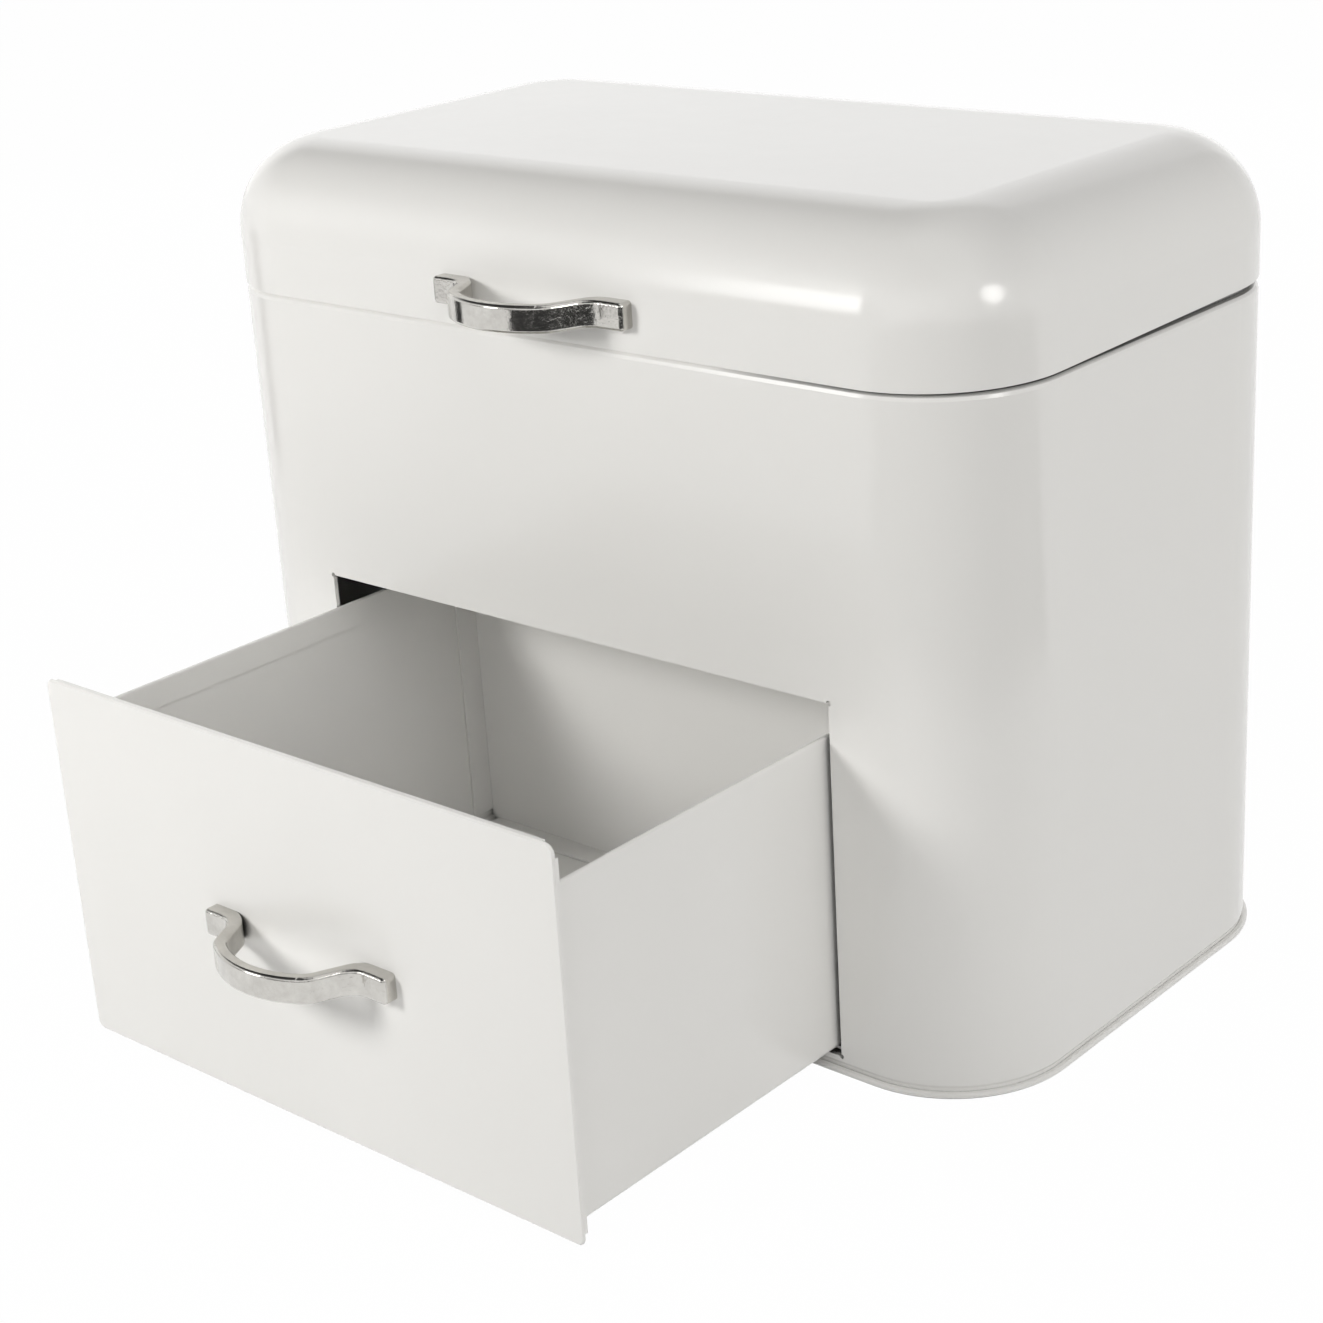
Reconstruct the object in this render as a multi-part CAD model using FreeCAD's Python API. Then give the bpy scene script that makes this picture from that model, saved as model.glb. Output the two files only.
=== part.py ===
import FreeCAD, Part
import math
import os

# Bread box with drawer, in sheet steel. Millimetres, +Z up, front towards -Y, right towards +X.
# The origin is on the standing plane, below the centre of the body. The lid is closed and the
# drawer is pulled out by drawer_pull.

# ---------------------------------------------------------------- driving dimensions

# body
body_width = 340.0
body_depth = 193.0
corner_radius = 43.0          # in plan
sheet = 0.8                   # sheet steel of body, lid, base and shelf
shoulder_height = 233.0       # top of the shoulder that the lid closes on
shoulder_radius = 2.3
shoulder_flat_angle = 30.0    # the shoulder's bend is drawn in flats of this angle
neck_inset = 3.2              # from the outer wall to the neck inside the lid
neck_height = 6.5
cove_depth = 0.6              # groove between wall and bottom bead
cove_height = 2.2
bead_height = 2.0             # rolled bead of the base
bead_reach = 1.5              # how far the bead stands out of the wall
bead_round = 0.65
seam_width = 7.0              # lock seam of the wrapped wall, at the rear

# lid
lid_height = 49.8
lid_top_radius = 31.3
lid_flat_angle = 18.0         # the same for the inner side of the top bend
lid_overhang = 0.2
lid_hem = 5.5
lid_gap_front = 0.15          # lid edge above the shoulder at the front
lid_gap_rear = 3.0            # the same at the rear, where the lid swings

# drawer opening in the front wall
opening_width = 226.4
opening_low = 6.0
opening_high = 130.8
opening_hem = 8.0             # the wall is folded back behind itself round the opening
relief_radius = 0.9           # corner reliefs of the hems

# base and divider shelf
base_floor = 3.0              # underside of the base floor above the standing plane
rim_leg = 1.3                 # doubled sheet of the base inside the foot of the wall
shelf_level = 134.0           # underside of the divider shelf
shelf_rim = 10.0
seat_gap = 0.05               # between sheets that are spot-welded to each other

# drawer
drawer_pull = 124.6           # how far it stands out of its closed place
front_width = 229.4
front_low = 2.3
front_high = 133.0
front_fold = 2.0              # depth of the folded front panel
front_corner = 3.0
front_edge = 0.5
front_clip = 4.4              # the folds end this far from each corner
front_stand_off = 0.2         # closed panel to the body's front wall
drawer_sheet = 0.8
drawer_side_gap = 1.7         # drawer wall to the edge of the opening
drawer_floor = 8.1            # underside of the drawer above the standing plane
drawer_top = 119.2
drawer_hem = 9.5
drawer_bend = 1.2             # inner bend radius between floor and walls
drawer_rear_gap = 0.7         # closed drawer to the rear wall
tab_reach = 10.0              # welding tabs of the drawer's back and front
tab_margin = 4.0
stop_reach = 5.0              # stop ears on the side walls
stop_low = 55.0
stop_high = 85.0
stop_setback = 26.0           # from the rear end, so that the drawer stays under its kickers

# guides on the base, kickers under the shelf
guide_sheet = 1.0
guide_bend = 0.4
guide_side_gap = 0.8
guide_ledge = 14.3
guide_foot = 10.0
guide_rise = 40.0             # top of the guide above the standing plane
guide_end_gap = 1.0           # from the hem of the opening
guide_length = 165.0
running_gap = 0.3             # drawer floor to the guide ledge
kicker_gap = 0.6              # drawer wall to the kicker lip
kicker_lip = 7.0
kicker_flange = 10.0
kicker_length = 140.0
kicker_setback = 21.0         # behind the front wall

# hinges
hinge_spacing = 170.0
hinge_width = 40.0
hinge_leaf = 16.0             # from the pin's axis to the leaf's end
leaf_sheet = 1.0
leaf_corner = 2.5
knuckle_length = 12.0         # of each of the body leaf's two knuckles
knuckle_radius = 2.75
knuckle_play = 0.3            # knuckles to the wall, and leaf to knuckle
knuckle_end_gap = 0.2
pin_radius = 1.25
pin_clearance = 0.05
pin_end = 0.8                 # the pin stands out of the knuckles by this much
hinge_drop = 0.35             # pin axis below the lid's rear edge

# bow handles, one on the lid and one on the drawer front
handle_spacing = 72.0         # between the screws
handle_foot_end = 5.75        # from the screw to the foot's outer end
handle_foot_leg = 7.5         # from the screw to the leg
handle_foot_thickness = 5.1
handle_height = 9.1
handle_projection = 25.0
handle_strap = 4.3
handle_leg_angle = 64.0       # of the legs against the wall, in degrees
handle_crown_angle = 30.0     # the same where crown and shoulder bend meet
handle_shoulder_radius = 12.0
handle_valley_radius = 3.0
handle_edge = 1.1             # polished edge
lid_handle_level = 245.5
drawer_handle_level = 67.0
drawer_handle_side = 2.0      # the drawer's handle sits this far right of the middle

# screws M4 with wide heads
screw_radius = 2.0
screw_gap = 0.05
screw_engagement = 3.6
screw_head_radius = 4.6
screw_head = 1.8

# for cutting tools
overrun = 1.0                 # how far a cutter reaches past a face
same_place = 0.001            # two places nearer than this are one

# ---------------------------------------------------------------- derived places

front_wall = -body_depth / 2
rear_wall = body_depth / 2
neck_top = shoulder_height + neck_height
lid_edge_front = shoulder_height + lid_gap_front
lid_edge_rear = shoulder_height + lid_gap_rear
lid_top = lid_edge_front + lid_height
lid_front = front_wall - lid_overhang
lid_rear = rear_wall + lid_overhang
wall_foot = bead_height + cove_height
base_top = base_floor + sheet

hem_inside = front_wall + 2 * sheet
guide_start = hem_inside + guide_end_gap

drawer_half = opening_width / 2 - drawer_side_gap
front_face = front_wall - front_stand_off - front_fold - drawer_pull
panel_back = front_face + drawer_sheet
drawer_rear = rear_wall - sheet - drawer_rear_gap - drawer_pull

hinge_y = lid_rear + knuckle_play + knuckle_radius
hinge_z = lid_edge_rear - hinge_drop
hinge_places = [-hinge_spacing / 2, hinge_spacing / 2]

X_AXIS = FreeCAD.Vector(1, 0, 0)
Y_AXIS = FreeCAD.Vector(0, 1, 0)
Z_AXIS = FreeCAD.Vector(0, 0, 1)
ORIGIN = FreeCAD.Vector(0, 0, 0)


# ---------------------------------------------------------------- shape helpers

def box(x_low, x_high, y_low, y_high, z_low, z_high):
    corner = FreeCAD.Vector(x_low, y_low, z_low)
    return Part.makeBox(x_high - x_low, y_high - y_low, z_high - z_low, corner)


def rounded_outline(corners):
    """A closed wire through (a, b, radius) corners, with tangent arcs, in the XY plane."""
    count = len(corners)
    starts = []
    for i in range(count):
        before = corners[i - 1]
        here = corners[i]
        after = corners[(i + 1) % count]
        point = FreeCAD.Vector(here[0], here[1], 0)
        to_before = FreeCAD.Vector(before[0], before[1], 0) - point
        to_after = FreeCAD.Vector(after[0], after[1], 0) - point
        to_before.normalize()
        to_after.normalize()
        half = to_before.getAngle(to_after) / 2
        radius = here[2]
        if radius == 0:
            starts.append((point, None, point))
            continue
        reach = radius / math.tan(half)
        middle = to_before + to_after
        middle.normalize()
        crown = point + middle * (radius / math.sin(half) - radius)
        starts.append((point + to_before * reach, crown, point + to_after * reach))
    edges = []
    for i in range(count):
        entry, crown, leave = starts[i]
        following = starts[(i + 1) % count][0]
        if crown is not None:
            edges.append(Part.Arc(entry, crown, leave).toShape())
        if leave.distanceToPoint(following) > same_place:
            edges.append(Part.LineSegment(leave, following).toShape())
    return Part.Wire(edges)


def arc_corners(centre, radius, start, end, flat_angle):
    """Corners of an arc from start to end in degrees, drawn in flats of about this angle."""
    steps = round(abs(end - start) / flat_angle)
    corners = []
    for i in range(steps + 1):
        angle = math.radians(start + (end - start) * i / steps)
        corners.append((centre[0] + radius * math.cos(angle), centre[1] + radius * math.sin(angle), 0))
    return corners


def section_face(corners):
    """The face of a rounded outline, stood up in the XZ plane."""
    face = Part.Face(rounded_outline(corners))
    face.rotate(ORIGIN, X_AXIS, 90)
    return face


def prism_y(corners, y_low, y_high):
    """A section in X and Z, extruded along Y."""
    face = section_face(corners)
    face.translate(FreeCAD.Vector(0, y_low, 0))
    return face.extrude(FreeCAD.Vector(0, y_high - y_low, 0))


def rounded_prism(inset, z_low, z_high):
    """A prism with the body's plan, set in by inset all round (negative is outwards)."""
    half_x = body_width / 2 - inset
    half_y = body_depth / 2 - inset
    radius = corner_radius - inset
    corners = [
        (-half_x, -half_y, radius),
        (half_x, -half_y, radius),
        (half_x, half_y, radius),
        (-half_x, half_y, radius),
    ]
    face = Part.Face(rounded_outline(corners))
    face.translate(FreeCAD.Vector(0, 0, z_low))
    return face.extrude(FreeCAD.Vector(0, 0, z_high - z_low))


def wrapped(corners):
    """A wall section, given as (outwards from the body's wall, height), taken round the body."""
    straight_x = body_width / 2 - corner_radius
    straight_y = body_depth / 2 - corner_radius
    pieces = []
    for quarter in range(4):
        reach = body_width / 2 if quarter % 2 == 0 else body_depth / 2
        half_run = straight_y if quarter % 2 == 0 else straight_x
        side = section_face(corners)
        side.translate(FreeCAD.Vector(reach, -half_run, 0))
        side = side.extrude(FreeCAD.Vector(0, 2 * half_run, 0))
        side.rotate(ORIGIN, Z_AXIS, 90 * quarter)
        pieces.append(side)
        bend = section_face(corners)
        bend.translate(FreeCAD.Vector(corner_radius, 0, 0))
        bend = bend.revolve(ORIGIN, Z_AXIS, 90)
        bend.rotate(ORIGIN, Z_AXIS, 90 * quarter)
        side_x = straight_x if quarter in (0, 3) else -straight_x
        side_y = straight_y if quarter in (0, 1) else -straight_y
        bend.translate(FreeCAD.Vector(side_x, side_y, 0))
        pieces.append(bend)
    return pieces[0].fuse(pieces[1:]).removeSplitter()


def cylinder(radius, length, base, direction):
    return Part.makeCylinder(radius, length, base, direction)


def mirrored(shape):
    """The same piece on the left."""
    return shape.mirror(ORIGIN, X_AXIS)


def hole_y(x, z, radius, y_low, y_high):
    """A round cutter along Y."""
    return cylinder(radius, y_high - y_low, FreeCAD.Vector(x, y_low, z), Y_AXIS)


# ---------------------------------------------------------------- hinges

def hinge_pin(x):
    length = hinge_width + 2 * pin_end
    return cylinder(pin_radius, length, FreeCAD.Vector(x - length / 2, hinge_y, hinge_z), X_AXIS)


def hinge_leaf_plate(x, seat, up):
    """The flat of a leaf, from the pin's height to its end, with two clipped corners."""
    half = hinge_width / 2
    sign = 1 if up else -1
    end = hinge_z + sign * hinge_leaf
    clipped = end - sign * leaf_corner
    corners = [
        (x - half, hinge_z, 0),
        (x + half, hinge_z, 0),
        (x + half, clipped, 0),
        (x + half - leaf_corner, end, 0),
        (x - half + leaf_corner, end, 0),
        (x - half, clipped, 0),
    ]
    return prism_y(corners, seat, seat + leaf_sheet)


def hinge_leaf_solid(x, seat, up, rolled, notched):
    """A leaf: its flat, its rolled knuckles (x ranges), and notches for the other leaf's."""
    leaf = hinge_leaf_plate(x, seat, up)
    room = knuckle_radius + knuckle_play
    for low, high in notched:
        leaf = leaf.cut(box(x + low, x + high, seat - overrun, seat + leaf_sheet + overrun,
                            hinge_z - room, hinge_z + room))
    bores = []
    for low, high in rolled:
        start = FreeCAD.Vector(x + low, hinge_y, hinge_z)
        leaf = leaf.fuse(cylinder(knuckle_radius, high - low, start, X_AXIS))
        bores.append(cylinder(pin_radius + pin_clearance, high - low, start, X_AXIS))
    return leaf.cut(bores).removeSplitter()


def body_leaf(x):
    half = hinge_width / 2
    inner = half - knuckle_length
    rolled = [(-half, -inner), (inner, half)]
    notched = [(-inner, inner)]
    return hinge_leaf_solid(x, rear_wall, False, rolled, notched)


def lid_leaf(x):
    half = hinge_width / 2
    inner = half - knuckle_length
    rolled = [(-inner + knuckle_end_gap, inner - knuckle_end_gap)]
    notch = inner - knuckle_end_gap
    notched = [(-half - overrun, -notch), (notch, half + overrun)]
    return hinge_leaf_solid(x, lid_rear, True, rolled, notched)


# ---------------------------------------------------------------- body

def body_shell():
    """The wrapped wall: cove at the foot, rounded shoulder, and the neck that goes into the lid."""
    cove_middle = wall_foot - cove_height / 2
    foot = sheet + seat_gap
    shoulder_centre = (-shoulder_radius, shoulder_height - shoulder_radius)
    section = [
        (-cove_depth, foot, 0),
        (-cove_depth, cove_middle, 0),
        (0, wall_foot, 0),
    ]
    section += arc_corners(shoulder_centre, shoulder_radius, 0, 90, shoulder_flat_angle)
    section += [
        (-neck_inset, shoulder_height, 0),
        (-neck_inset, neck_top, 0),
        (-neck_inset - sheet, neck_top, 0),
        (-neck_inset - sheet, shoulder_height - sheet, 0),
        (-2 * sheet, shoulder_height - sheet, 0),
        (-sheet, shoulder_height - shoulder_radius, 0),
        (-sheet, wall_foot, 0),
        (-sheet - cove_depth, cove_middle, 0),
        (-sheet - cove_depth, foot, 0),
    ]
    shell = wrapped(section)

    half = opening_width / 2
    hem_top = min(opening_high + opening_hem, shelf_level - seat_gap)
    shell = shell.fuse(box(-half - opening_hem, half + opening_hem, front_wall + sheet / 2, hem_inside,
                           opening_low - sheet, hem_top))
    cut_from = front_wall - overrun
    cut_to = hem_inside + overrun
    shell = shell.cut(box(-half, half, cut_from, cut_to, opening_low, opening_high))
    for x in (-half, half):
        for z in (opening_low, opening_high):
            shell = shell.cut(hole_y(x, z, relief_radius, cut_from, cut_to))

    seam = box(-seam_width / 2, seam_width / 2, rear_wall - sheet / 2, rear_wall + sheet,
               wall_foot + sheet, shoulder_height - shoulder_radius - sheet)
    return shell.fuse(seam).removeSplitter()


def base_panel():
    """The floor of the box; its rim is rolled outwards round the foot of the wall."""
    slot_in = cove_depth + sheet + seat_gap
    slot_out = cove_depth - seat_gap
    leg = slot_in + rim_leg
    section = [
        (-leg, 0, 0),
        (bead_reach - bead_round, 0, 0),
        (bead_reach, bead_round, 0),
        (bead_reach, bead_height - bead_round, 0),
        (bead_reach - bead_round, bead_height, 0),
        (-slot_out, bead_height, 0),
        (-slot_out, sheet, 0),
        (-slot_in, sheet, 0),
        (-slot_in, base_top, 0),
        (-leg, base_top, 0),
    ]
    rim = wrapped(section)
    floor = rounded_prism(leg, base_floor, base_top)
    return rim.fuse(floor).removeSplitter()


def divider_shelf():
    """The floor of the bread compartment, a shallow pan spot-welded into the body."""
    inset = sheet + seat_gap
    pan = rounded_prism(inset, shelf_level, shelf_level + shelf_rim)
    return pan.cut(rounded_prism(inset + sheet, shelf_level + sheet, shelf_level + shelf_rim + overrun))


def drawer_guide():
    """The right guide: foot on the base, ledge under the drawer, side wall beside it."""
    side = drawer_half + guide_side_gap
    web = side - guide_ledge
    foot = web - guide_foot
    ledge = drawer_floor - running_gap
    wide_bend = guide_bend + guide_sheet
    section = [
        (foot, base_top, 0),
        (web + guide_sheet, base_top, wide_bend),
        (web + guide_sheet, ledge - guide_sheet, guide_bend),
        (side + guide_sheet, ledge - guide_sheet, wide_bend),
        (side + guide_sheet, guide_rise, 0),
        (side, guide_rise, 0),
        (side, ledge, guide_bend),
        (web, ledge, wide_bend),
        (web, base_top + guide_sheet, guide_bend),
        (foot, base_top + guide_sheet, 0),
    ]
    return prism_y(section, guide_start, guide_start + guide_length)


def drawer_kicker():
    """The right kicker: hangs under the shelf, its lip just above the drawer's side wall."""
    lip = drawer_top + kicker_gap
    lip_end = drawer_half + guide_sheet
    web = drawer_half - kicker_lip
    flange = web + guide_sheet - kicker_flange
    wide_bend = guide_bend + guide_sheet
    section = [
        (flange, shelf_level - guide_sheet, 0),
        (web, shelf_level - guide_sheet, guide_bend),
        (web, lip, wide_bend),
        (lip_end, lip, 0),
        (lip_end, lip + guide_sheet, 0),
        (web + guide_sheet, lip + guide_sheet, guide_bend),
        (web + guide_sheet, shelf_level, wide_bend),
        (flange, shelf_level, 0),
    ]
    start = front_wall + kicker_setback
    return prism_y(section, start, start + kicker_length)


# ---------------------------------------------------------------- lid

def lid_shell():
    """The deep-drawn lid, with a closed hem inside its edge and a slightly raised rear edge."""
    low = shoulder_height - lid_hem
    inner_top = lid_top - sheet
    hem_top = lid_edge_front + lid_hem
    crown_inset = (lid_top_radius - lid_overhang + corner_radius) / 2
    section = [
        (lid_overhang, low, 0),
        (lid_overhang, lid_top, lid_top_radius),
        (-crown_inset, lid_top, 0),
        (-crown_inset, inner_top, 0),
    ]
    bend_centre = (lid_overhang - lid_top_radius, lid_top - lid_top_radius)
    section += arc_corners(bend_centre, lid_top_radius - sheet, 90, 0, lid_flat_angle)
    section += [
        (lid_overhang - sheet, hem_top, 0),
        (lid_overhang - 2 * sheet, hem_top, 0),
        (lid_overhang - 2 * sheet, low, 0),
    ]
    shell = wrapped(section).fuse(rounded_prism(crown_inset, inner_top, lid_top))

    slope = (lid_edge_rear - lid_edge_front) / (lid_rear - lid_front)
    reach = body_depth
    below = low - overrun
    points = [
        FreeCAD.Vector(-body_width, -reach, below),
        FreeCAD.Vector(-body_width, reach, below),
        FreeCAD.Vector(-body_width, reach, lid_edge_rear + slope * (reach - lid_rear)),
        FreeCAD.Vector(-body_width, -reach, lid_edge_front - slope * (reach + lid_front)),
    ]
    trim = Part.Face(Part.makePolygon(points + points[:1])).extrude(FreeCAD.Vector(2 * body_width, 0, 0))
    shell = shell.cut(trim)
    for side in (-1, 1):
        shell = shell.cut(hole_y(side * handle_spacing / 2, lid_handle_level, screw_radius + screw_gap,
                                 lid_front - overrun, lid_front + sheet + overrun))
    return shell.removeSplitter()


# ---------------------------------------------------------------- drawer

def drawer_front():
    """The overlay front: a plate with shallow folds on four sides, which stop before the corners."""
    half = front_width / 2
    outline = [
        (-half, front_low, front_corner),
        (half, front_low, front_corner),
        (half, front_high, front_corner),
        (-half, front_high, front_corner),
    ]
    panel = prism_y(outline, front_face, front_face + front_fold)
    rim = [edge for edge in panel.Edges if edge.BoundBox.YMax < front_face + same_place]
    panel = panel.makeChamfer(front_edge, rim)
    panel = panel.cut(box(-half + drawer_sheet, half - drawer_sheet, panel_back, front_face + front_fold,
                          front_low + drawer_sheet, front_high - drawer_sheet))
    for x in (-half, half):
        for z in (front_low, front_high):
            clip = box(x - front_clip, x + front_clip, panel_back, front_face + front_fold,
                       z - front_clip, z + front_clip)
            panel = panel.cut(clip)
    for side in (-1, 1):
        x = drawer_handle_side + side * handle_spacing / 2
        panel = panel.cut(hole_y(x, drawer_handle_level, screw_radius + screw_gap,
                                 front_face - overrun, panel_back + overrun))
    return panel.removeSplitter()


def drawer_box():
    """Floor and side walls in one sheet, hems on top, welding flanges at the front, stop ears."""
    outer = drawer_half
    inner = drawer_half - drawer_sheet
    hem = drawer_half - 2 * drawer_sheet
    floor_top = drawer_floor + drawer_sheet
    right_side = [
        (outer, drawer_floor, drawer_bend + drawer_sheet),
        (outer, drawer_top, drawer_sheet),
        (hem, drawer_top, drawer_sheet),
        (hem, drawer_top - drawer_hem, 0),
        (inner, drawer_top - drawer_hem, 0),
        (inner, floor_top, drawer_bend),
    ]
    left_side = [(-x, z, radius) for x, z, radius in right_side[::-1]]
    shell = prism_y(right_side + left_side, panel_back + seat_gap, drawer_rear)

    flange_low = floor_top + tab_margin
    flange_high = drawer_top - drawer_hem - tab_margin
    start = panel_back + seat_gap
    ear_rear = drawer_rear - stop_setback
    for side in (-1, 1):
        x_low = min(side * inner, side * (inner - tab_reach))
        shell = shell.fuse(box(x_low, x_low + tab_reach, start, start + drawer_sheet,
                               flange_low, flange_high))
        ear_low = min(side * inner, side * (outer + stop_reach))
        ear_width = stop_reach + drawer_sheet
        shell = shell.fuse(box(ear_low, ear_low + ear_width, ear_rear - drawer_sheet, ear_rear,
                               stop_low, stop_high))
    turn_up = inner - tab_reach - tab_margin
    shell = shell.fuse(box(-turn_up, turn_up, start, start + drawer_sheet,
                           floor_top, floor_top + tab_reach))
    return shell.removeSplitter()


def drawer_back():
    """The back wall, with a hem, and welding tabs that lie on the floor and on the side walls."""
    side = drawer_half - drawer_sheet - seat_gap
    floor_top = drawer_floor + drawer_sheet + seat_gap
    inner_face = drawer_rear - drawer_sheet
    tab_front = inner_face - tab_reach
    narrow = side - drawer_sheet - seat_gap
    tab_high = drawer_top - drawer_hem - seat_gap
    back = box(-side, side, inner_face, drawer_rear, floor_top, tab_high)
    back = back.fuse(box(-narrow, narrow, inner_face, drawer_rear, tab_high, drawer_top))
    back = back.fuse(box(-narrow, narrow, inner_face - drawer_sheet, inner_face,
                         drawer_top - drawer_hem, drawer_top))
    for x_low in (-side, side - drawer_sheet):
        back = back.fuse(box(x_low, x_low + drawer_sheet, tab_front, inner_face,
                             floor_top + tab_margin, tab_high))
    floor_tab = side - tab_margin
    back = back.fuse(box(-floor_tab, floor_tab, tab_front, inner_face, floor_top, floor_top + drawer_sheet))
    corner = box(-side - overrun, -side + drawer_bend, inner_face - overrun, drawer_rear + overrun,
                 floor_top - overrun, floor_top + drawer_bend)
    back = back.cut([corner, mirrored(corner)])
    return back.removeSplitter()


# ---------------------------------------------------------------- handles and their screws

def bow_crown_radius():
    """The crown's radius, so that crown, shoulder bends and straight legs join without a kink."""
    crown = math.radians(handle_crown_angle)
    leg = math.radians(handle_leg_angle)
    leg_foot = handle_spacing / 2 - handle_foot_leg
    rise = handle_projection - handle_foot_thickness
    bend_run = handle_shoulder_radius * (math.sin(leg) - math.sin(crown))
    bend_rise = handle_shoulder_radius * (math.cos(crown) - math.cos(leg))
    run_left = leg_foot - bend_run - (rise - bend_rise) / math.tan(leg)
    return run_left / (math.sin(crown) - (1 - math.cos(crown)) / math.tan(leg))


def bow_corners(inset):
    """Where the tangents meet, for the outline set in by inset: over the crown, at the shoulder."""
    crown = math.radians(handle_crown_angle)
    leg = math.radians(handle_leg_angle)
    crown_radius = bow_crown_radius() - inset
    shoulder_radius = handle_shoulder_radius - inset
    apex = handle_projection - inset + crown_radius * (1 / math.cos(crown) - 1)
    run = crown_radius * math.tan(crown) + shoulder_radius * math.tan((leg - crown) / 2)
    shoulder = (run * math.cos(crown), apex - run * math.sin(crown))
    return apex, shoulder


def leg_place(shoulder, height):
    """How far from the middle a leg below this shoulder corner is, at a height out of the wall."""
    return shoulder[0] + (shoulder[1] - height) / math.tan(math.radians(handle_leg_angle))


def bow_outline(inset, level):
    """The bow's outline at this level, set in by inset all round but for its feet on the wall."""
    apex, shoulder = bow_corners(inset)
    apex_in, shoulder_in = bow_corners(handle_strap - inset)
    foot_top = handle_foot_thickness - inset
    foot_end = handle_spacing / 2 + handle_foot_end - inset
    crown = bow_crown_radius() - inset
    crown_in = bow_crown_radius() - handle_strap + inset
    bend = handle_shoulder_radius - inset
    bend_in = handle_shoulder_radius - handle_strap + inset
    right = [
        (shoulder[0], -shoulder[1], bend),
        (leg_place(shoulder, foot_top), -foot_top, handle_valley_radius + inset),
        (foot_end, -foot_top, 0),
        (foot_end, 0, 0),
        (leg_place(shoulder_in, 0), 0, 0),
        (shoulder_in[0], -shoulder_in[1], bend_in),
    ]
    left = [(-x, y, radius) for x, y, radius in right[::-1]]
    wire = rounded_outline([(0, -apex, crown)] + right + [(0, -apex_in, crown_in)] + left)
    wire.translate(FreeCAD.Vector(0, 0, level))
    return wire


def bow_handle():
    """The cast bow, lying on the plane Y = 0 and standing out towards -Y, centred on the Z axis."""
    half = handle_height / 2
    flank = half - handle_edge
    bow = Part.Face(bow_outline(0, -flank)).extrude(FreeCAD.Vector(0, 0, 2 * flank))
    for side in (-1, 1):
        wires = [bow_outline(0, side * flank), bow_outline(handle_edge, side * half)]
        bow = bow.fuse(Part.makeLoft(wires, True, True))
    for side in (-1, 1):
        start = FreeCAD.Vector(side * handle_spacing / 2, -screw_engagement - screw_gap, 0)
        length = screw_engagement + overrun
        bow = bow.cut(cylinder(screw_radius + screw_gap, length, start, Y_AXIS))
    return bow


def handle_screw(wall):
    """A screw from the inside with a wide flat head, for a wall of this thickness, seated at Y = 0."""
    start = FreeCAD.Vector(0, -screw_engagement, 0)
    shank = cylinder(screw_radius, screw_engagement + wall, start, Y_AXIS)
    head = cylinder(screw_head_radius, screw_head, FreeCAD.Vector(0, wall, 0), Y_AXIS)
    return shank.fuse(head)


def placed(shape, x, y, z):
    copy = shape.copy()
    copy.translate(FreeCAD.Vector(x, y, z))
    return copy


def pair_at(shape, x, y, z):
    """Two copies, one at each foot of a handle."""
    return [placed(shape, x + side * handle_spacing / 2, y, z) for side in (-1, 1)]


# ---------------------------------------------------------------- all pieces

def all_nodes():
    handle = bow_handle()
    lid_seat = (0, lid_front, lid_handle_level)
    drawer_seat = (drawer_handle_side, front_face, drawer_handle_level)
    return {
        "body_shell": [body_shell()],
        "base_panel": [base_panel()],
        "divider_shelf": [divider_shelf()],
        "drawer_guide_left": [mirrored(drawer_guide())],
        "drawer_guide_right": [drawer_guide()],
        "drawer_kicker_left": [mirrored(drawer_kicker())],
        "drawer_kicker_right": [drawer_kicker()],
        "hinge_left_body_leaf": [body_leaf(hinge_places[0])],
        "hinge_right_body_leaf": [body_leaf(hinge_places[1])],
        "hinge_left_pin": [hinge_pin(hinge_places[0])],
        "hinge_right_pin": [hinge_pin(hinge_places[1])],
        "lid_shell": [lid_shell()],
        "hinge_left_lid_leaf": [lid_leaf(hinge_places[0])],
        "hinge_right_lid_leaf": [lid_leaf(hinge_places[1])],
        "lid_handle": [placed(handle, *lid_seat)],
        "lid_handle_screws": pair_at(handle_screw(sheet), *lid_seat),
        "drawer_front": [drawer_front()],
        "drawer_box": [drawer_box()],
        "drawer_back": [drawer_back()],
        "drawer_handle": [placed(handle, *drawer_seat)],
        "drawer_handle_screws": pair_at(handle_screw(drawer_sheet), *drawer_seat),
    }


os.makedirs("parts", exist_ok=True)
for name, solids in all_nodes().items():
    shape = solids[0] if len(solids) == 1 else Part.makeCompound(solids)
    shape.exportStep("parts/" + name + ".step")
    print(name, len(shape.Solids), round(shape.Volume), shape.isValid())
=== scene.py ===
import math
import bpy
import bmesh
from mathutils import Matrix, Vector


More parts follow.
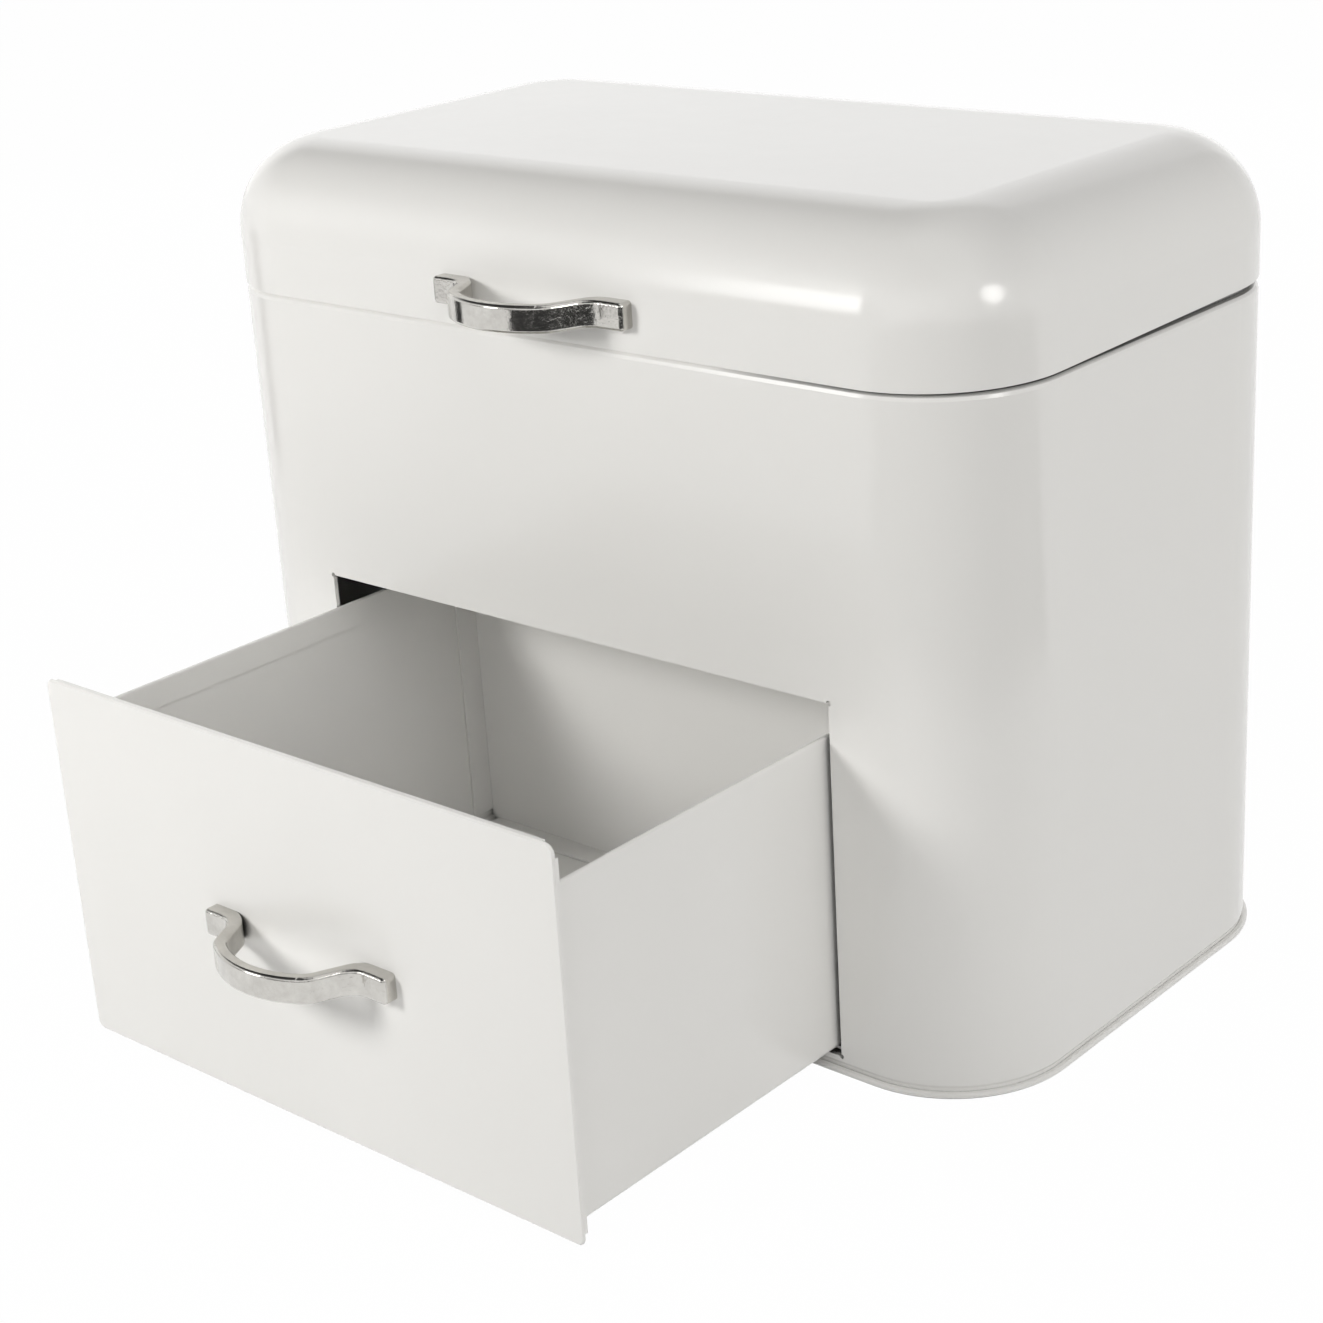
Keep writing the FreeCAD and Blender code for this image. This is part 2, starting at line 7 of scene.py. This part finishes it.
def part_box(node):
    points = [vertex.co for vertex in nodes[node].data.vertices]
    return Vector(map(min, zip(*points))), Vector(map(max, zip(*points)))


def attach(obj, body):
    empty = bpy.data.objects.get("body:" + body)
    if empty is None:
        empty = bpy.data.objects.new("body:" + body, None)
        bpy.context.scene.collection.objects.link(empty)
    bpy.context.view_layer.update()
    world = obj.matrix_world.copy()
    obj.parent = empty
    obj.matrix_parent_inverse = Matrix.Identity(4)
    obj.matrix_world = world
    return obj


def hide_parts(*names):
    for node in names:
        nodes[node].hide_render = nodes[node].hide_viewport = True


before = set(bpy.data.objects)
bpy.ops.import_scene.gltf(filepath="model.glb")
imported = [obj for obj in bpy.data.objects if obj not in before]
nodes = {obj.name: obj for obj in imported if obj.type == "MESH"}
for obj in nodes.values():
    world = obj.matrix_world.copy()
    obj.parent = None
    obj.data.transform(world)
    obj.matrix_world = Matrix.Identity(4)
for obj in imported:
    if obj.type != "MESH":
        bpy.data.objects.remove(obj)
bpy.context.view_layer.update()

scene = bpy.context.scene
scene.view_settings.view_transform = "Standard"


# ---------------------------------------------------------------- camera
IMAGE_PIXELS = 1323.0
FOCAL_PIXELS = 2602.0
SENSOR = 36.0
CAMERA_AT = Vector((0.57513, -0.68236, 0.43829))
CAMERA_TURN = (42.15, 21.29, -3.583)

yaw, pitch, roll = (math.radians(a) for a in CAMERA_TURN)
forward = Vector((-math.sin(yaw) * math.cos(pitch), math.cos(yaw) * math.cos(pitch), -math.sin(pitch)))
level = Vector((math.cos(yaw), math.sin(yaw), 0.0))
upright = level.cross(forward)
cam_x = math.cos(roll) * level + math.sin(roll) * upright
cam_y = math.cos(roll) * upright - math.sin(roll) * level
camera = bpy.data.objects.new("camera", bpy.data.cameras.new("camera"))
scene.collection.objects.link(camera)
camera.matrix_world = Matrix((
    (cam_x.x, cam_y.x, -forward.x, CAMERA_AT.x),
    (cam_x.y, cam_y.y, -forward.y, CAMERA_AT.y),
    (cam_x.z, cam_y.z, -forward.z, CAMERA_AT.z),
    (0.0, 0.0, 0.0, 1.0),
))
camera.data.sensor_width = SENSOR
camera.data.lens = SENSOR * FOCAL_PIXELS / IMAGE_PIXELS
camera.data.clip_start = 0.01
camera.data.clip_end = 50.0
scene.camera = camera


# ---------------------------------------------------------------- node helpers
class Tree:
    """Short calls for building one node tree."""

    def __init__(self, tree):
        self.tree = tree
        self.nodes = tree.nodes
        self.nodes.clear()

    def add(self, kind, **values):
        node = self.nodes.new(kind)
        for key, value in values.items():
            setattr(node, key, value)
        return node

    def join(self, source, target):
        self.tree.links.new(source, target)


def material(name):
    """A material with a Principled shader."""
    mat = bpy.data.materials.new(name)
    mat.use_nodes = True
    tree = Tree(mat.node_tree)
    output = tree.add("ShaderNodeOutputMaterial")
    shader = tree.add("ShaderNodeBsdfPrincipled")
    tree.join(shader.outputs["BSDF"], output.inputs["Surface"])
    return mat, tree, shader


def noise(tree, scale, detail=3.0, rough=0.5, stretch=None, vector=None):
    """Noise over object coordinates in metres: a scale of 1000 has features near 1 mm."""
    if vector is None:
        vector = tree.add("ShaderNodeTexCoord").outputs["Object"]
    if stretch:
        mapping = tree.add("ShaderNodeMapping")
        mapping.inputs["Scale"].default_value = stretch
        tree.join(vector, mapping.inputs["Vector"])
        vector = mapping.outputs["Vector"]
    node = tree.add("ShaderNodeTexNoise")
    node.inputs["Scale"].default_value = scale
    node.inputs["Detail"].default_value = detail
    node.inputs["Roughness"].default_value = rough
    tree.join(vector, node.inputs["Vector"])
    return node.outputs["Fac"]


def spread(tree, value, low, high, start=0.3, end=0.7):
    """value between start and end, given as low to high."""
    node = tree.add("ShaderNodeMapRange")
    node.inputs["From Min"].default_value = start
    node.inputs["From Max"].default_value = end
    node.inputs["To Min"].default_value = low
    node.inputs["To Max"].default_value = high
    tree.join(value, node.inputs["Value"])
    return node.outputs["Result"]


def maths(tree, operation, *values):
    """A Math node on sockets or numbers."""
    node = tree.add("ShaderNodeMath", operation=operation)
    for value, socket in zip(values, node.inputs):
        if isinstance(value, float):
            socket.default_value = value
        else:
            tree.join(value, socket)
    return node.outputs["Value"]


def axes(tree):
    """X, Y and Z of the object coordinates, in metres."""
    node = tree.add("ShaderNodeSeparateXYZ")
    tree.join(tree.add("ShaderNodeTexCoord").outputs["Object"], node.inputs["Vector"])
    return node.outputs


def tint(tree, value, low, high):
    """A colour from low to high."""
    node = tree.add("ShaderNodeMix", data_type="RGBA")
    node.inputs["A"].default_value = (*low, 1.0)
    node.inputs["B"].default_value = (*high, 1.0)
    tree.join(value, node.inputs["Factor"])
    return node.outputs["Result"]


def bump(tree, height, strength, distance, before=None):
    """A bump on top of the one before. strength is a number or a socket."""
    node = tree.add("ShaderNodeBump")
    if isinstance(strength, float):
        node.inputs["Strength"].default_value = strength
    else:
        tree.join(strength, node.inputs["Strength"])
    node.inputs["Distance"].default_value = distance
    tree.join(height, node.inputs["Height"])
    if before is not None:
        tree.join(before, node.inputs["Normal"])
    return node.outputs["Normal"]


# ---------------------------------------------------------------- materials
GAP_DEPTH = 0.006
PAINTED_GAP_SHADE = (0.02, 0.019, 0.017)
SEAM_LOW, SEAM_HIGH = 0.170, 0.175
# Along X, the painted seam shade starts at the first value and is full at the second, in metres.
SEAM_SHADE_FROM_X, SEAM_SHADE_FULL_X = 0.07, 0.14


def painted_shade_factor(tree):
    """Share of the paint colour against the painted gap shade: 0 deep in a gap, where shade is painted
    in full, and 1 in the open. From the seam's height up, the painted shade reaches further out of the
    gaps, but on the left none is painted there.
    """
    place = axes(tree)
    around = tree.add("ShaderNodeAmbientOcclusion", samples=8)
    around.inputs["Distance"].default_value = GAP_DEPTH
    free = spread(tree, around.outputs["AO"], 0.0, 1.0, 0.18, 0.48)
    tree.join(spread(tree, place["Z"], 0.48, 0.85, SEAM_LOW, SEAM_HIGH), free.node.inputs["From Max"])
    # At and above the seam's height the painted shade is left out on the left, and it fades in towards
    # the right.
    left = spread(tree, place["X"], 1.0, 0.0, SEAM_SHADE_FROM_X, SEAM_SHADE_FULL_X)
    at_seam = spread(tree, place["Z"], 0.0, 1.0, SEAM_LOW, SEAM_HIGH)
    return maths(tree, "MAXIMUM", free, maths(tree, "MULTIPLY", left, at_seam))


def enamel_material():
    """White powder coat, with painted shade: inside gaps of a few millimetres its colour is darkened
    to near black, as a deep gap's shade looks.
    """
    mat, tree, shader = material("enamel")
    mottle = spread(tree, noise(tree, 9.0, 4.0), 0.0, 1.0)
    paint = tint(tree, mottle, (0.878, 0.871, 0.850), (0.892, 0.885, 0.866))
    # Painted shade: the paint is mixed towards a near-black colour inside gaps and along the seam
    # under the lid.
    shade = tree.add("ShaderNodeMix", data_type="RGBA")
    shade.inputs["A"].default_value = (*PAINTED_GAP_SHADE, 1.0)
    tree.join(paint, shade.inputs["B"])
    tree.join(painted_shade_factor(tree), shade.inputs["Factor"])
    tree.join(shade.outputs["Result"], shader.inputs["Base Color"])
    smudge = spread(tree, noise(tree, 34.0, 6.0, 0.6), 0.13, 0.18)
    tree.join(smudge, shader.inputs["Roughness"])
    peel = bump(tree, noise(tree, 420.0, 2.0), 0.08, 0.0001)
    grit = bump(tree, noise(tree, 2600.0, 2.0), 0.03, 0.00005, peel)
    tree.join(grit, shader.inputs["Normal"])
    shader.inputs["IOR"].default_value = 1.5
    return mat


LEG_FROM, LEG_FULL = 0.015, 0.023


def nickel_material():
    """Cast nickel, rougher on the legs of a handle than on its bow."""
    mat, tree, shader = material("nickel")
    cloud = spread(tree, noise(tree, 140.0, 5.0, 0.6), 0.0, 1.0)
    metal = tint(tree, cloud, (0.54, 0.525, 0.495), (0.66, 0.645, 0.61))
    tree.join(metal, shader.inputs["Base Color"])
    tree.join(spread(tree, noise(tree, 420.0, 4.0), 0.07, 0.16), shader.inputs["Roughness"])
    side = maths(tree, "ABSOLUTE", axes(tree)["X"])
    legs = spread(tree, side, 0.25, 1.0, LEG_FROM, LEG_FULL)
    cast = bump(tree, noise(tree, 300.0, 5.0, 0.6), legs, 0.0003)
    tree.join(cast, shader.inputs["Normal"])
    shader.inputs["Metallic"].default_value = 1.0
    return mat


def zinc_material():
    """Zinc-coated steel with its spangle."""
    mat, tree, shader = material("zinc_steel")
    spangle = spread(tree, noise(tree, 90.0, 4.0), 0.0, 1.0)
    metal = tint(tree, spangle, (0.50, 0.50, 0.50), (0.62, 0.62, 0.61))
    tree.join(metal, shader.inputs["Base Color"])
    streak = noise(tree, 400.0, 3.0, stretch=(8.0, 1.0, 8.0))
    tree.join(spread(tree, streak, 0.28, 0.42), shader.inputs["Roughness"])
    tree.join(bump(tree, streak, 0.12, 0.0001), shader.inputs["Normal"])
    shader.inputs["Metallic"].default_value = 1.0
    return mat


finishes = {"enamel": enamel_material(), "chrome": nickel_material(), "steel": zinc_material()}
for cad in nodes.values():
    for place in cad.material_slots:
        place.material = finishes[place.material.name.split(".")[0]]


# ---------------------------------------------------------------- handles, in millimetres
SPACING = 72.0
FOOT_END = 5.75
FOOT_LEG = 7.5
FOOT_THICK = 5.1
FOOT_CORNER = 1.6
HEIGHT = 9.1
PROJECTION = 25.0
STRAP = 4.3
LEG = math.radians(64.0)
CROWN = math.radians(30.0)
SHOULDER_RADIUS = 12.0
VALLEY_RADIUS = 7.0
ROOT_RADIUS = 9.0
EDGE = 1.3
EDGE_STEPS = 5
ARC_STEP = math.radians(4.0)


def rounded(corners):
    """Points of a closed outline through (x, y, radius) corners, with arcs for the radii."""
    points = []
    for i, (x, y, radius) in enumerate(corners):
        here = Vector((x, y))
        back = (Vector(corners[i - 1][:2]) - here).normalized()
        on = (Vector(corners[(i + 1) % len(corners)][:2]) - here).normalized()
        if not radius:
            points.append(here)
            continue
        half = back.angle(on) / 2
        first = back * radius / math.tan(half)
        centre = (back + on).normalized() * radius / math.sin(half)
        arm = first - centre
        turn = math.pi - 2 * half
        sense = 1 if back.x * on.y - back.y * on.x < 0 else -1
        steps = math.ceil(turn / ARC_STEP - 0.1)
        for k in range(steps + 1):
            c = math.cos(sense * turn * k / steps)
            s = math.sin(sense * turn * k / steps)
            points.append(here + centre + Vector((arm.x * c - arm.y * s, arm.x * s + arm.y * c)))
    return points


def crown_radius():
    """Outer radius of the bow's crown, from which shoulder and leg run on smoothly."""
    leg_foot = SPACING / 2 - FOOT_LEG
    rise = PROJECTION - FOOT_THICK - SHOULDER_RADIUS * (math.cos(CROWN) - math.cos(LEG))
    run = leg_foot - SHOULDER_RADIUS * (math.sin(LEG) - math.sin(CROWN)) - rise / math.tan(LEG)
    return run / (math.sin(CROWN) - (1 - math.cos(CROWN)) / math.tan(LEG))


def bow_line(inset):
    """Corners of one side of the bow, set in by inset: over the crown, and at the shoulder."""
    crown = crown_radius() - inset
    shoulder = SHOULDER_RADIUS - inset
    apex = PROJECTION - inset + crown * (1 / math.cos(CROWN) - 1)
    run = crown * math.tan(CROWN) + shoulder * math.tan((LEG - CROWN) / 2)
    x, y = run * math.cos(CROWN), apex - run * math.sin(CROWN)
    return (0.0, -apex, crown), (x, -y, shoulder)


def bow_outline(inset):
    """The bow's outline, set in by inset all round but for its feet on the wall."""
    crown, shoulder = bow_line(inset)
    crown_in, shoulder_in = bow_line(STRAP - inset)
    thick = FOOT_THICK - inset
    end = SPACING / 2 + FOOT_END - inset
    valley = shoulder[0] - (shoulder[1] + thick) / math.tan(LEG)
    inner_foot = shoulder_in[0] - shoulder_in[1] / math.tan(LEG)
    right = [
        shoulder,
        (valley, -thick, VALLEY_RADIUS + inset),
        (end, -thick, FOOT_CORNER - inset),
        (end, 0.0, 0.0),
        (inner_foot, 0.0, ROOT_RADIUS - inset),
        shoulder_in,
    ]
    left = [(-x, y, radius) for x, y, radius in right[::-1]]
    return rounded([crown] + right + [crown_in] + left)


def bow_handle(name, node, body):
    """The cast bow with rounded edges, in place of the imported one."""
    flank = HEIGHT / 2 - EDGE
    quarter = [math.pi / 2 * k / EDGE_STEPS for k in range(EDGE_STEPS + 1)]
    levels = [(EDGE * (1 - math.cos(t)), flank + EDGE * math.sin(t)) for t in quarter]
    levels = [(inset, -z) for inset, z in levels[::-1]] + levels
    rings = [[(p.x, p.y, z) for p in bow_outline(inset)] for inset, z in levels]
    count = len(rings[0])
    points = [tuple(v / 1000 for v in point) for ring in rings for point in ring]
    faces = [tuple(range(count))[::-1], tuple(range(len(points) - count, len(points)))]
    for k in range(len(rings) - 1):
        for i in range(count):
            j = (i + 1) % count
            faces.append((k * count + i, k * count + j, (k + 1) * count + j, (k + 1) * count + i))
    mesh = bpy.data.meshes.new(name)
    mesh.from_pydata(points, [], faces)
    bm = bmesh.new()
    bm.from_mesh(mesh)
    bmesh.ops.recalc_face_normals(bm, faces=bm.faces)
    on_wall = 1e-6
    for edge in bm.edges:
        edge.smooth = not all(abs(v.co.y) < on_wall for v in edge.verts)
    for face in bm.faces:
        face.smooth = True
    bm.to_mesh(mesh)
    bm.free()
    mesh.materials.append(finishes["chrome"])
    bow = bpy.data.objects.new(name, mesh)
    scene.collection.objects.link(bow)
    low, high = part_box(node)
    bow.location = ((low[0] + high[0]) / 2, high[1], (low[2] + high[2]) / 2)
    normals = bow.modifiers.new("normals", "WEIGHTED_NORMAL")
    normals.keep_sharp = True
    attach(bow, body)
    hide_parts(node)
    return bow


bow_handle("lid_bow", "lid_handle", "lid")
bow_handle("drawer_bow", "drawer_handle", "drawer")


# ---------------------------------------------------------------- studio
FLOOR_HALF = 4.0
FLOOR_DROP = 0.0002
FLOOR_WHITE = 0.99
WORLD_FILL = 0.06
WHITE = (1.0, 1.0, 1.0, 1.0)


def seen_white(tree, lit, white, share=1.0):
    """lit for the object's light; white, by its share, for the camera, reflections and glass."""
    path = tree.add("ShaderNodeLightPath").outputs
    seen = maths(tree, "MAXIMUM", path["Is Camera Ray"], path["Is Glossy Ray"])
    seen = maths(tree, "MAXIMUM", seen, path["Is Transmission Ray"])
    mix = tree.add("ShaderNodeMixShader")
    tree.join(maths(tree, "MULTIPLY", seen, share), mix.inputs["Fac"])
    tree.join(lit, mix.inputs[1])
    tree.join(white, mix.inputs[2])
    return mix.outputs["Shader"]


def floor_material():
    """A white floor that keeps a trace of the object's shadow."""
    mat = bpy.data.materials.new("floor_white")
    mat.use_nodes = True
    tree = Tree(mat.node_tree)
    output = tree.add("ShaderNodeOutputMaterial")
    diffuse = tree.add("ShaderNodeBsdfDiffuse")
    diffuse.inputs["Color"].default_value = (0.8, 0.8, 0.8, 1.0)
    glow = tree.add("ShaderNodeEmission")
    glow.inputs["Strength"].default_value = 1.0
    surface = seen_white(tree, diffuse.outputs["BSDF"], glow.outputs["Emission"], FLOOR_WHITE)
    tree.join(surface, output.inputs["Surface"])
    return mat


def sheet(name, half_x, half_y):
    """A flat rectangle about the origin."""
    mesh = bpy.data.meshes.new(name)
    corners = [(-half_x, -half_y, 0), (half_x, -half_y, 0), (half_x, half_y, 0), (-half_x, half_y, 0)]
    mesh.from_pydata(corners, [], [(0, 1, 2, 3)])
    return mesh


floor = bpy.data.objects.new("floor", sheet("floor", FLOOR_HALF, FLOOR_HALF))
scene.collection.objects.link(floor)
floor.location.z = -FLOOR_DROP
floor.data.materials.append(floor_material())

world = bpy.data.worlds.new("studio")
scene.world = world
world.use_nodes = True
sky = Tree(world.node_tree)
sky_output = sky.add("ShaderNodeOutputWorld")
fill = sky.add("ShaderNodeBackground")
fill.inputs["Color"].default_value = (1.0, 0.99, 0.97, 1.0)
fill.inputs["Strength"].default_value = WORLD_FILL
white = sky.add("ShaderNodeBackground")
white.inputs["Color"].default_value = WHITE
white.inputs["Strength"].default_value = 1.0
sky.join(
    seen_white(sky, fill.outputs["Background"], white.outputs["Background"]),
    sky_output.inputs["Surface"],
)


# ---------------------------------------------------------------- lamps and cards
MIDDLE = Vector((0.0, -0.03, 0.14))
LAMP_COLOUR = (1.0, 0.992, 0.975)
FLOOR_CARD_LEVEL = 0.05
FLOOR_CARD_RISE = 0.001
FLOOR_CARD_STEPS = 24


def aimed(obj, azimuth, elevation, distance):
    """Puts obj in this direction from the middle, facing it. Azimuth 0 is the front, 90 the right."""
    az, el = math.radians(azimuth), math.radians(elevation)
    way = Vector((math.sin(az) * math.cos(el), -math.cos(az) * math.cos(el), math.sin(el)))
    scene.collection.objects.link(obj)
    obj.location = MIDDLE + way * distance
    obj.rotation_mode = "QUATERNION"
    obj.rotation_quaternion = (-way).to_track_quat("-Z", "Y")
    return obj


def softbox(name, direction, size, radiance, diffuse=True, glossy=True, shape="RECTANGLE"):
    """An area lamp. direction is azimuth, elevation and distance; radiance 1 is white."""
    lamp = bpy.data.lights.new(name, "AREA")
    lamp.shape = shape
    lamp.size, lamp.size_y = size
    lamp.energy = radiance * math.pi * size[0] * size[1]
    lamp.color = LAMP_COLOUR
    obj = aimed(bpy.data.objects.new(name, lamp), *direction)
    obj.visible_diffuse = diffuse
    obj.visible_glossy = glossy
    return obj


def glow_material(name):
    mat = bpy.data.materials.new(name)
    mat.use_nodes = True
    tree = Tree(mat.node_tree)
    output = tree.add("ShaderNodeOutputMaterial")
    glow = tree.add("ShaderNodeEmission")
    tree.join(glow.outputs["Emission"], output.inputs["Surface"])
    return mat, tree, glow.inputs["Strength"]


def reflected(name, mesh, mat):
    """A piece of the stage that only reflections see."""
    mesh.materials.append(mat)
    obj = bpy.data.objects.new(name, mesh)
    obj.visible_camera = obj.visible_diffuse = obj.visible_shadow = False
    return obj


def card(name, size, shape, edge, middle, start, end):
    """A card whose glow runs from edge to middle where the gradient goes from start to end."""
    mat, tree, strength = glow_material(name)
    ramp = tree.add("ShaderNodeTexGradient", gradient_type=shape)
    scale = tree.add("ShaderNodeMapping")
    scale.inputs["Scale"].default_value = (2.0 / size[0], 2.0 / size[1], 1.0)
    tree.join(tree.add("ShaderNodeTexCoord").outputs["Object"], scale.inputs["Vector"])
    tree.join(scale.outputs["Vector"], ramp.inputs["Vector"])
    tree.join(spread(tree, ramp.outputs["Fac"], edge, middle, start, end), strength)
    return reflected(name, sheet(name, size[0] / 2, size[1] / 2), mat)


def flag(name, direction, size, level):
    """A soft-edged dark card: level in its middle, white at its edge."""
    aimed(card(name, size, "QUADRATIC_SPHERE", 1.0, level, 0.0, 0.3), *direction)


def streak(name, direction, size, level):
    """A card as bright as level at its right end, fading to white at its left."""
    aimed(card(name, size, "LINEAR", 1.0, level, -1.0, 1.0), *direction)


def dark_floor(name, azimuths, reach):
    """A dark sector of the floor, between two azimuths and two distances."""
    mat, tree, strength = glow_material(name)
    strength.default_value = FLOOR_CARD_LEVEL
    start, end = azimuths
    points = []
    for k in range(FLOOR_CARD_STEPS + 1):
        az = math.radians(start + (end - start) * k / FLOOR_CARD_STEPS)
        points += [(r * math.sin(az), -r * math.cos(az), 0.0) for r in reach]
    faces = [(2 * k, 2 * k + 1, 2 * k + 3, 2 * k + 2) for k in range(FLOOR_CARD_STEPS)]
    mesh = bpy.data.meshes.new(name)
    mesh.from_pydata(points, [], faces)
    obj = reflected(name, mesh, mat)
    scene.collection.objects.link(obj)
    obj.location.z = FLOOR_CARD_RISE


softbox("key", (-26.0, 23.0, 1.1), (0.3, 0.27), 21.6, glossy=False)
softbox("front", (16.0, 20.0, 1.3), (0.5, 0.45), 1.9, glossy=False)
softbox("right", (60.0, 44.0, 1.6), (1.5, 1.7), 1.08, glossy=False)
softbox("right_low", (102.0, 7.0, 1.6), (1.6, 0.5), 2.5, glossy=False)
softbox("left", (-113.0, 22.0, 1.6), (1.3, 1.2), 1.2, glossy=False)
softbox("back_left", (-138.0, 22.0, 1.6), (2.4, 1.2), 0.42, diffuse=False)
softbox("back", (180.0, 14.0, 1.6), (2.0, 0.9), 1.2, glossy=False)
softbox("spot", (81.0, 21.0, 1.3), (0.38, 0.38), 6.5, diffuse=False, shape="ELLIPSE")
streak("strip", (-29.3, 11.5, 1.3), (0.28, 0.34), 12.0)
flag("flag_left", (-84.0, 55.0, 1.5), (3.4, 2.4), 0.05)
flag("flag_front", (-28.0, 6.0, 1.45), (2.4, 1.0), 0.45)
flag("flag_top", (0.0, 52.0, 1.5), (3.4, 2.0), 0.05)
dark_floor("dark_floor_right", (-9.0, 112.0), (0.5, 4.0))
dark_floor("dark_floor_left", (-80.0, -68.0), (0.75, 3.0))
